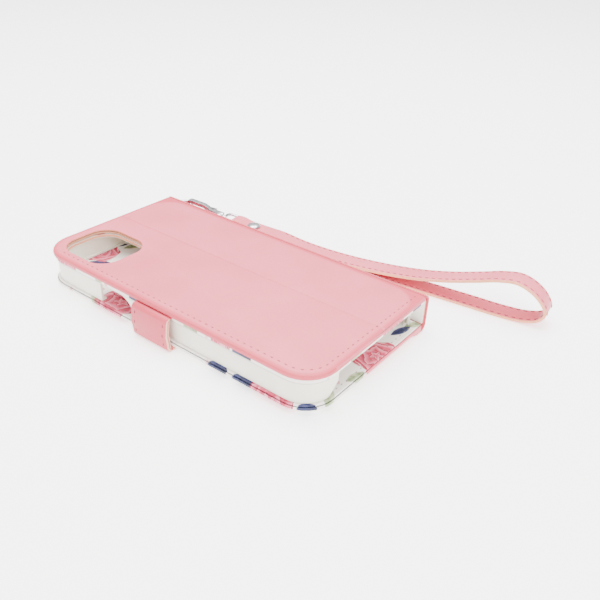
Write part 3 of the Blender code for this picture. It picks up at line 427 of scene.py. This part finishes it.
# Nickel plate on a zinc casting: a bright mirror that is softened by faint tumbling marks.
def nickel_plate(name, colour, roughness):
    material, tree, shader = start_material(name, roughness, metallic=1.0)
    place = add(tree, "ShaderNodeTexCoord").outputs["Object"]
    marks = add(tree, "ShaderNodeTexNoise", {"Vector": place, "Scale": 1 / (1.5 * MM), "Detail": 6.0})
    gloss = add(tree, "ShaderNodeMapRange", {
        "Value": marks.outputs["Fac"], "To Min": roughness - 0.05, "To Max": roughness + 0.10})
    tone = add(tree, "ShaderNodeValToRGB", {"Fac": marks.outputs["Fac"]})
    set_ramp(tone, ((0.3, colour), (0.9, "#E4E4E7")))
    bump = add(tree, "ShaderNodeBump", {
        "Height": marks.outputs["Fac"], "Strength": 0.15, "Distance": 0.03 * MM})
    tree.links.new(tone.outputs["Color"], shader.inputs["Base Color"])
    tree.links.new(gloss.outputs["Result"], shader.inputs["Roughness"])
    tree.links.new(bump.outputs["Normal"], shader.inputs["Normal"])
    return material


# Twisted polyester thread: a dull sheen in slanted plies, drawn coarser than real so that they show.
def sewing_thread(name, pale, deep):
    material, tree, shader = start_material(name, 0.6, Sheen_Weight=0.3)
    place = add(tree, "ShaderNodeTexCoord").outputs["Object"]
    plies = add(tree, "ShaderNodeTexWave", {
        "Vector": place, "Scale": 1 / (1.2 * MM), "Distortion": 1.0}, bands_direction="DIAGONAL")
    tone = add(tree, "ShaderNodeValToRGB", {"Fac": plies.outputs["Fac"]})
    set_ramp(tone, ((0.2, deep), (0.8, pale)))
    bump = add(tree, "ShaderNodeBump", {
        "Height": plies.outputs["Fac"], "Strength": 0.6, "Distance": 0.05 * MM})
    tree.links.new(tone.outputs["Color"], shader.inputs["Base Color"])
    tree.links.new(bump.outputs["Normal"], shader.inputs["Normal"])
    return material


# The back's leather is deepened towards its rim as painted shade.
BACK_LEATHER = pink_leather("pink polyurethane leather with painted rim shade", "#E36D7D", "#DD6273", rim="#D04A5B")
# The crease's faces are painted deeper, as painted shade in the groove.
CREASE_SHADE_LEATHER = pink_leather("pink polyurethane leather with painted crease shade", "#DC6677", "#D65C6D")
COVER_LEATHER = pink_leather("smooth pink polyurethane leather", "#E36D7D", "#DD6273")
# The same pink leather, deeper, as painted shade on sides and faces that turn from the light.
SHADED_SIDE_LEATHER = pink_leather("pink polyurethane leather in painted shade", "#D04A5B", "#C64051")
STRAP_LEATHER = pink_leather("pale pink polyurethane leather", "#E57382", "#DF6878", 0.45)
# The strap's leather, deeper, as painted shade for its inner face under the upper strand and for the clasp's
# inner faces.
SHADED_FACE_LEATHER = pink_leather("pink polyurethane leather in painted underside shade", "#DC6272", "#D45767")
COVER_PRINT = printed_leather(
    "printed white polyurethane leather", COVER_ROSES, COVER_DARK_LEAVES, COVER_SAGE_LEAVES)
BACK_PRINT = printed_leather("printed white leather strip", BACK_ROSES, BACK_DARK_LEAVES, BACK_SAGE_LEAVES)
UPRIGHT_PRINT = printed_leather(
    "printed white leather on its edge", SPINE_ROSES, SPINE_DARK_LEAVES, SPINE_SAGE_LEAVES, upright=True)
EDGE = painted_edge("painted leather edge", "#E8A27E", "#DA8A68")
CREAM_EDGE = painted_edge("cream painted edge", "#EABB9E", "#DBA184")
BOARD = painted_edge("cut greyboard", "#DEA582", "#CC9070")
TRAY = moulded_plastic()
STEEL = nickel_plate("bright nickel plate", "#A6A7AC", 0.16)
# The same nickel, darker, as painted shade on the hook's collar.
SHADED_STEEL = nickel_plate("nickel plate in painted shade", "#4C4446", 0.35)
PINK_THREAD = sewing_thread("twisted pink thread", "#B8404E", "#8E2C3A")
# The pink thread, deeper, as painted shade for stitches on shaded faces.
SHADED_THREAD = sewing_thread("twisted pink thread in painted shade", "#8E3040", "#6E2430")
CREAM_THREAD = sewing_thread("twisted cream thread", "#9C8A7C", "#7A6A5E")


def link_new(name, mesh):
    piece = bpy.data.objects.new(name, mesh)
    bpy.context.scene.collection.objects.link(piece)
    return piece


def select_only(piece):
    bpy.ops.object.select_all(action="DESELECT")
    piece.select_set(True)
    bpy.context.view_layer.objects.active = piece


def apply_modifier(piece, kind, **settings):
    select_only(piece)
    modifier = piece.modifiers.new(kind.title(), kind)
    for key, value in settings.items():
        setattr(modifier, key, value)
    bpy.ops.object.modifier_apply(modifier=modifier.name)


def weigh_outer_edges(mesh, sharp):
    """Mark the sharp outer edges for rounding. Inner corners stay as they are, so nothing fills them."""
    bm = bmesh.new()
    bm.from_mesh(mesh)
    weight = bm.edges.layers.float.new("bevel_weight_edge")
    for edge in bm.edges:
        if len(edge.link_faces) == 2:
            edge[weight] = float(edge.is_convex and edge.calc_face_angle() > sharp)
    bm.to_mesh(mesh)
    bm.free()


def soften(node, name, width, materials, segments=3, sharp=35, drop=0.0):
    """A copy of a node's shape with its edges rounded over, which stands for the node. Its underside
    can drop, to close the gap to the piece below as a turned edge does."""
    mesh = frame["nodes"][node].data.copy()
    under = (min(vert.co.z for vert in mesh.vertices) + max(vert.co.z for vert in mesh.vertices)) / 2
    for vert in mesh.vertices:
        if vert.co.z < under:
            vert.co.z -= drop
    piece = link_new(name, mesh)
    select_only(piece)
    bpy.ops.object.mode_set(mode="EDIT")
    bpy.ops.mesh.select_all(action="SELECT")
    bpy.ops.mesh.remove_doubles(threshold=0.001 * MM)
    bpy.ops.mesh.dissolve_limited(angle_limit=math.radians(0.5))
    bpy.ops.object.mode_set(mode="OBJECT")
    weigh_outer_edges(mesh, math.radians(sharp))
    apply_modifier(
        piece, "BEVEL", width=width, segments=segments, limit_method="WEIGHT", use_clamp_overlap=True)
    select_only(piece)
    bpy.ops.object.shade_smooth_by_angle(angle=math.radians(sharp))
    mesh.materials.clear()
    for material in materials:
        mesh.materials.append(material)
    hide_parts(node)
    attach(piece, BODY_OF[node])
    return piece


def paint_faces(piece, number, chooses):
    """Give a material by its number to the faces that a test on centre and normal chooses."""
    for face in piece.data.polygons:
        if chooses(face.center, face.normal):
            face.material_index = number


def stitch_shape():
    """One stitch: a short capsule of thread whose ends dip into the leather."""
    bpy.ops.object.select_all(action="DESELECT")
    bpy.ops.mesh.primitive_uv_sphere_add(segments=8, ring_count=6, radius=THREAD_WIDTH / 2)
    shape = bpy.context.object
    bpy.ops.transform.rotate(value=math.pi / 2, orient_axis="Y", center_override=(0, 0, 0))
    bpy.ops.object.transform_apply(rotation=True)
    mesh = shape.data
    for vert in mesh.vertices:
        vert.co.x *= STITCH_LENGTH / THREAD_WIDTH
        vert.co.z -= THREAD_WIDTH * STITCH_DIP * (2 * vert.co.x / STITCH_LENGTH) ** 2
    mesh.shade_smooth()
    shape.data = bpy.data.meshes.new("spent")
    bpy.data.objects.remove(shape)
    return mesh


STITCH = stitch_shape()


def evenly(path, pitch):
    """Points every pitch along a path of points, each with the path's direction there."""
    places = []
    left = pitch / 2
    for here, after in zip(path, path[1:]):
        run = (after - here).length
        while left <= run:
            places.append((here.lerp(after, left / run), (after - here).normalized()))
            left += pitch
        left -= run
    return places


def sew(name, path, up, thread, body, pitch=STITCH_PITCH, scale=1.0):
    """A row of stitches along a path. up is the way out of the leather, or a function of direction."""
    bm = bmesh.new()
    for point, direction in evenly(path, pitch):
        out = up(direction) if callable(up) else up
        aside = out.cross(direction).normalized()
        turn = Matrix((direction, aside, direction.cross(aside))).transposed().to_4x4()
        before = len(bm.verts)
        bm.from_mesh(STITCH)
        bm.verts.ensure_lookup_table()
        place = Matrix.Translation(point) @ turn @ Matrix.Scale(scale, 4)
        bmesh.ops.transform(bm, matrix=place, verts=bm.verts[before:])
    mesh = bpy.data.meshes.new(name)
    bm.to_mesh(mesh)
    bm.free()
    mesh.materials.append(thread)
    row = link_new(name, mesh)
    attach(row, body)
    return row


def corner_arc(x, y, radius, start, z, steps=12):
    """A quarter circle of points round a corner's centre, from an angle in degrees."""
    angles = [math.radians(start + 90 * step / steps) for step in range(steps + 1)]
    return [Vector((x + radius * math.cos(a), y + radius * math.sin(a), z)) for a in angles]


def smooth_loop(points, steps=8):
    """A closed curve through the points, with even speed by the square root of their spacing."""
    count = len(points)
    curve = []
    for place in range(count):
        p0, p1, p2, p3 = (Vector(points[(place + offset) % count]) for offset in (-1, 0, 1, 2))
        t1 = (p1 - p0).length ** 0.5
        t2 = t1 + (p2 - p1).length ** 0.5
        t3 = t2 + (p3 - p2).length ** 0.5
        for step in range(steps):
            t = t1 + (t2 - t1) * step / steps
            a1 = p0.lerp(p1, t / t1)
            a2 = p1.lerp(p2, (t - t1) / (t2 - t1))
            a3 = p2.lerp(p3, (t - t2) / (t3 - t2))
            b1 = a1.lerp(a2, t / t2)
            b2 = a2.lerp(a3, (t - t1) / (t3 - t1))
            curve.append(b1.lerp(b2, (t - t1) / (t2 - t1)))
    return curve


def strap_half_width(along):
    """Half the strap's width: it narrows to pass through the eye."""
    share = min(max(along / STRAP_TAPER, 0), 1)
    eased = share * share * (3 - 2 * share)
    return (STRAP_END_WIDTH + (STRAP_WIDTH - STRAP_END_WIDTH) * eased) / 2


STRAP_PLACE = Matrix.Translation(STRAP_BAR) @ Matrix.Rotation(STRAP_HEADING, 4, "Z")
BAR_HEIGHT = STRAP_BAR.z - FLOOR
STRAP_CURVE = smooth_loop([(along * MM, high * MM - BAR_HEIGHT) for along, high in STRAP_ROUTE])


def strap_stations():
    """Each point of the strap's middle line, with the way out of the loop there."""
    count = len(STRAP_CURVE)
    for place, point in enumerate(STRAP_CURVE):
        direction = (STRAP_CURVE[(place + 1) % count] - STRAP_CURVE[place - 1]).normalized()
        yield point, Vector((-direction.y, direction.x))


def strap_profile(half, corner_steps=4):
    """The strap's rounded cross-section as (across, out) points, from its outer face round."""
    deep = STRAP_THICKNESS / 2
    round_off = STRAP_EDGE_ROUND
    corners = ((half, deep, 90), (half, -deep, 0), (-half, -deep, -90), (-half, deep, -180))
    profile = []
    for across, out, start in corners:
        middle = (across - math.copysign(round_off, across), out - math.copysign(round_off, out))
        for step in range(corner_steps + 1):
            angle = math.radians(start - 90 * step / corner_steps)
            profile.append((middle[0] + round_off * math.cos(angle), middle[1] + round_off * math.sin(angle)))
    return profile


def make_strap():
    bm = bmesh.new()
    rings = []
    for point, out in strap_stations():
        ring = []
        for across, depth in strap_profile(strap_half_width(point.x)):
            place = point + out * depth
            ring.append(bm.verts.new(STRAP_PLACE @ Vector((place.x, across, place.y))))
        rings.append(ring)
    sides = len(rings[0])
    outer_face, inner_face = sides - 1, sides // 2 - 1
    for ring, after in zip(rings, rings[1:] + rings[:1]):
        for side in range(sides):
            beside = (side + 1) % sides
            face = bm.faces.new((ring[side], ring[beside], after[beside], after[side]))
            # The outer face takes the strap's leather, the inner face its copy in painted shade, and the
            # sides the painted edge.
            face.material_index = {outer_face: 0, inner_face: 1}.get(side, 2)
            face.smooth = True
    bmesh.ops.recalc_face_normals(bm, faces=bm.faces)
    mesh = bpy.data.meshes.new("strap")
    bm.to_mesh(mesh)
    bm.free()
    for material in (STRAP_LEATHER, SHADED_FACE_LEATHER, EDGE):
        mesh.materials.append(material)
    strap = link_new("strap_band", mesh)
    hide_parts("wrist_strap")
    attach(strap, "strap")


def sew_strap():
    """Two rows of stitches on each face of the strap, clear of the fold round the eye's bar."""
    stations = list(strap_stations())
    steps = len(STRAP_CURVE) // len(STRAP_ROUTE)
    start = STRAP_SEWN_FROM * steps
    end = len(stations) - STRAP_SEWN_UP_TO * steps
    stations = stations[start:end]
    for face, depth in (("outer", 1), ("inner", -1)):
        for side, across in (("near", -1), ("far", 1)):
            path = []
            for point, out in stations:
                place = point + out * depth * STRAP_THICKNESS / 2
                edge = across * (strap_half_width(point.x) - STRAP_STITCH_INSET)
                path.append(STRAP_PLACE @ Vector((place.x, edge, place.y)))
            across_strap = STRAP_PLACE.to_3x3() @ Vector((0, 1, 0))
            # Stitches on the inner face take the thread in painted shade.
            thread = PINK_THREAD if depth > 0 else SHADED_THREAD
            up = lambda direction, depth=depth: direction.cross(across_strap) * -depth
            sew(f"strap_stitches_{face}_{side}", path, up, thread, "strap")


def sew_back():
    """The back's edge stitching, from beside the camera opening round the charging end."""
    inset = BACK_STITCH_INSET
    z = BACK_HIGH.z
    near = BACK_LOW.y + inset
    radius = PANEL_CORNER - inset
    right = BACK_HIGH.x - inset
    path = [Vector((BACK_STITCH_START, near, z)), Vector((right - radius, near, z))]
    path += corner_arc(right - radius, near + radius, radius, -90, z)
    path += [Vector((right, BACK_HIGH.y - STITCH_END_GAP, z))]
    sew("back_edge_stitches", path, Vector((0, 0, 1)), PINK_THREAD, "case_back")


def sew_cover():
    """Stitching round three sides of the cover's inner face."""
    inset = COVER_STITCH_INSET
    z = LINING_HIGH.z
    near = LINING_LOW.y + inset
    radius = PANEL_CORNER - inset
    left = LINING_LOW.x + inset
    right = LINING_HIGH.x - inset
    path = [Vector((left, LINING_HIGH.y - STITCH_END_GAP, z)), Vector((left, near + radius, z))]
    path += corner_arc(left + radius, near + radius, radius, 180, z)
    path += corner_arc(right - radius, near + radius, radius, -90, z)
    path += [Vector((right, LINING_HIGH.y - STITCH_END_GAP, z))]
    sew("cover_lining_stitches", path, Vector((0, 0, 1)), CREAM_THREAD, "front_cover", scale=0.8)


# The clasp's face is felt at this many heights on either side of its middle, this far apart
CLASP_FEELS = 8
CLASP_FEEL_STEP = 0.8 * MM
CLASP_FEEL_REACH = 10 * MM


def sew_clasp():
    """A row of stitches down each side of the clasp, on its outer face."""
    middle = (CLASP_LOW.z + CLASP_HIGH.z) / 2
    mesh = frame["nodes"]["clasp_side_outer"].data
    surface = BVHTree.FromPolygons(
        [vert.co for vert in mesh.vertices], [face.vertices for face in mesh.polygons])
    for side, x in (("left", CLASP_LOW.x + CLASP_STITCH_INSET), ("right", CLASP_HIGH.x - CLASP_STITCH_INSET)):
        path = []
        for step in range(-CLASP_FEELS, CLASP_FEELS + 1):
            start = Vector((x, CLASP_LOW.y - CLASP_FEEL_REACH, middle + step * CLASP_FEEL_STEP))
            place = surface.ray_cast(start, Vector((0, 1, 0)))[0]
            if place:
                path.append(place)
        # The clasp's stitches take the thread in painted shade.
        sew(f"clasp_stitches_{side}", path, Vector((0, -1, 0)), SHADED_THREAD, "clasp_side",
            pitch=CLASP_STITCH_PITCH, scale=1.1)


def by_camera(centre):
    """Whether a place is inside the camera opening or on its walls."""
    low, high = CAMERA_OPENING
    return low[0] < centre.x < high[0] and low[1] < centre.y < high[1]


# The least upward part of a normal on a level face, the most on a wall, and the least sideways part
# on a cut side
LEVEL = 0.93
UPRIGHT = 0.6
SIDEWAYS = 0.8


def is_cut_side(centre, normal):
    """Whether a face is one of the clasp's two cut sides."""
    return abs(normal.x) > SIDEWAYS


def is_camera_wall(centre, normal):
    """Whether a face is a wall of the camera opening."""
    return abs(normal.z) < UPRIGHT and by_camera(centre)


def is_crease(centre, normal):
    """Whether a face is in the back's crease."""
    return abs(centre.y - CREASE_Y) < CREASE_HALF_WIDTH and normal.z > 0


def dress_leather():
    """The leather skins. The back's has turned edges, a cut camera opening and a crease."""
    skin = soften(
        "back_leather", "back_skin", 0.3 * MM, (BACK_LEATHER, SHADED_SIDE_LEATHER, EDGE, CREASE_SHADE_LEATHER))
    # Faces that are not level take the deeper copy, as painted shade.
    paint_faces(skin, 1, lambda centre, normal: normal.z < LEVEL)
    paint_faces(skin, 2, is_camera_wall)
    # The crease's faces take painted shade.
    paint_faces(skin, 3, is_crease)
    # The spine and the ring's loop take the deeper copy, as painted shade.
    soften("spine_leather", "spine_skin", 0.3 * MM, (SHADED_SIDE_LEATHER,))
    soften("strap_loop", "ring_loop", 0.2 * MM, (SHADED_SIDE_LEATHER,))
    soften("cover_leather", "cover_skin", 0.25 * MM, (COVER_LEATHER,))
    soften("cover_print", "cover_printed_skin", 0.5 * MM, (COVER_PRINT,))
    # The clasp's outer faces take the deeper copy, as painted shade.
    for node, name in (("clasp_side_outer", "clasp_side_skin"), ("clasp_tip_outer", "clasp_tip_skin")):
        piece = soften(node, name, 0.3 * MM, (SHADED_SIDE_LEATHER, CREAM_EDGE))
        paint_faces(piece, 1, is_cut_side)
    # The clasp's inner faces take the leather in painted shade.
    for node, name in (("clasp_side_inner", "clasp_side_facing"), ("clasp_tip_inner", "clasp_tip_facing")):
        piece = soften(node, name, 0.1 * MM, (SHADED_FACE_LEATHER, CREAM_EDGE))
        paint_faces(piece, 1, is_cut_side)


def dress_lining():
    """The printed linings. Those of the back and the cover come down to what lies below them."""
    board_gap = LINING_LOW.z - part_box("cover_print")[1][2] - BOARD_CLEARANCE
    cloth = soften(
        "back_lining", "back_lining_cloth", LINING_ROUND, (BACK_PRINT, EDGE), drop=BACK_LINING_TURN)
    paint_faces(cloth, 1, is_camera_wall)
    soften("cover_lining", "cover_lining_cloth", LINING_ROUND, (COVER_PRINT,), drop=board_gap)
    soften("spine_lining", "spine_lining_cloth", LINING_ROUND, (UPRIGHT_PRINT,))
    for pocket in ("note_pocket", "card_pocket"):
        soften(pocket, pocket + "_cloth", LINING_ROUND, (COVER_PRINT,))


def dress_tray():
    """The moulded tray that holds the phone."""
    soften("phone_tray", "tray_shell", 0.25 * MM, (TRAY,))


def is_collar(centre, normal):
    """Whether a face is on the hook's collar."""
    return COLLAR_START < (centre - RING_CENTRE).length < COLLAR_END


def dress_steel():
    """Plated castings, and the ring. The hook's collar, behind its claw, is painted darker as shade."""
    for node, width in (("hook_body", 0.35), ("hook_gate", 0.3), ("swivel_eye", 0.15), ("gate_pin", 0.15)):
        piece = soften(node, node + "_plated", width * MM, (STEEL, SHADED_STEEL))
        if node == "hook_body":
            # The collar's faces take the nickel in painted shade.
            paint_faces(piece, 1, is_collar)
    for node in ("rivet_cap", "rivet_post"):
        soften(node, node + "_plated", 0.15 * MM, (STEEL,))
    bpy.ops.object.select_all(action="DESELECT")
    bpy.ops.mesh.primitive_torus_add(
        location=RING_CENTRE, major_radius=RING_RADIUS, minor_radius=RING_WIRE_RADIUS,
        major_segments=72, minor_segments=20)
    ring = bpy.context.object
    ring.name = "plated_ring"
    bpy.ops.object.transform_apply(location=True)
    bpy.ops.object.shade_smooth()
    ring.data.materials.append(STEEL)
    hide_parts("strap_ring")
    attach(ring, "ring")


def dress_hidden():
    """The pieces inside, which keep the frame's shapes and only take a finish."""
    for node, material in (
        ("back_board_fixed", BOARD), ("back_board_folding", BOARD), ("spine_board", BOARD),
        ("cover_board", BOARD), ("clasp_anchor", SHADED_SIDE_LEATHER), ("clasp_keeper", STEEL),
        ("clasp_magnet", STEEL),
    ):
        for slot in frame["nodes"][node].material_slots:
            slot.material = material


def place_camera():
    """The camera, turned by its azimuth, elevation and roll, at its distance from its target."""
    camera = bpy.data.objects.new("camera", bpy.data.cameras.new("camera"))
    bpy.context.scene.collection.objects.link(camera)
    camera.data.lens = CAMERA_LENS
    camera.data.sensor_width = CAMERA_SENSOR
    camera.data.clip_start = CAMERA_NEAR
    turn = Matrix.Rotation(CAMERA_AZIMUTH, 4, "Z")
    turn @= Matrix.Rotation(math.pi / 2 - CAMERA_ELEVATION, 4, "X")
    turn @= Matrix.Rotation(CAMERA_ROLL, 4, "Z")
    out = turn.to_3x3() @ Vector((0, 0, 1))
    camera.matrix_world = Matrix.Translation(CAMERA_TARGET + out * CAMERA_DISTANCE) @ turn
    bpy.context.scene.camera = camera


FLOOR_SIZE = 6.0
FLOOR_GAP = 0.05 * MM
FLOOR_GLOW = 1.6


def lay_floor():
    """A white paper floor. It gives off light too, so that all but the soft shadows are lost."""
    bpy.ops.object.select_all(action="DESELECT")
    bpy.ops.mesh.primitive_plane_add(size=FLOOR_SIZE, location=(0, 0, FLOOR - FLOOR_GAP))
    floor = bpy.context.object
    floor.name = "floor"
    material, _, shader = start_material("white paper floor", 0.9)
    shader.inputs["Base Color"].default_value = linear("#FDFDFD")
    shader.inputs["Emission Color"].default_value = linear("#FFFFFF")
    shader.inputs["Emission Strength"].default_value = FLOOR_GLOW
    floor.data.materials.append(material)


def add_light(name, place, size, power):
    """A square soft white light that faces the case."""
    data = bpy.data.lights.new(name, "AREA")
    data.shape = "SQUARE"
    data.size = size
    data.energy = power
    light = bpy.data.objects.new(name, data)
    bpy.context.scene.collection.objects.link(light)
    light.location = place
    light.rotation_euler = (-Vector(place)).to_track_quat("-Z", "Y").to_euler()


WALL_LIGHT = 0.8
CEILING_LIGHT = 2.0


def light_scene():
    """A bright ceiling over darker walls, so that the metal has something to reflect."""
    world = bpy.data.worlds.new("studio")
    bpy.context.scene.world = world
    world.use_nodes = True
    tree = world.node_tree
    sky = tree.nodes["Background"]
    direction = add(tree, "ShaderNodeTexCoord").outputs["Generated"]
    heading = add(tree, "ShaderNodeSeparateXYZ", {"Vector": direction})
    level = add(tree, "ShaderNodeMapRange", {
        "Value": heading.outputs["Z"], "From Min": 0.0, "From Max": 0.8,
        "To Min": WALL_LIGHT, "To Max": CEILING_LIGHT})
    sky.inputs["Color"].default_value = linear("#FFFFFF")
    tree.links.new(level.outputs["Result"], sky.inputs["Strength"])
    add_light("overhead", (-0.1, 0.1, 0.9), size=0.9, power=26.0)
    add_light("right", (0.75, -0.35, 0.65), size=0.5, power=9.0)


place_camera()
lay_floor()
light_scene()
dress_hidden()
dress_leather()
dress_lining()
dress_tray()
dress_steel()
make_strap()
sew_strap()
sew_back()
sew_cover()
sew_clasp()

bpy.data.meshes.remove(STITCH)
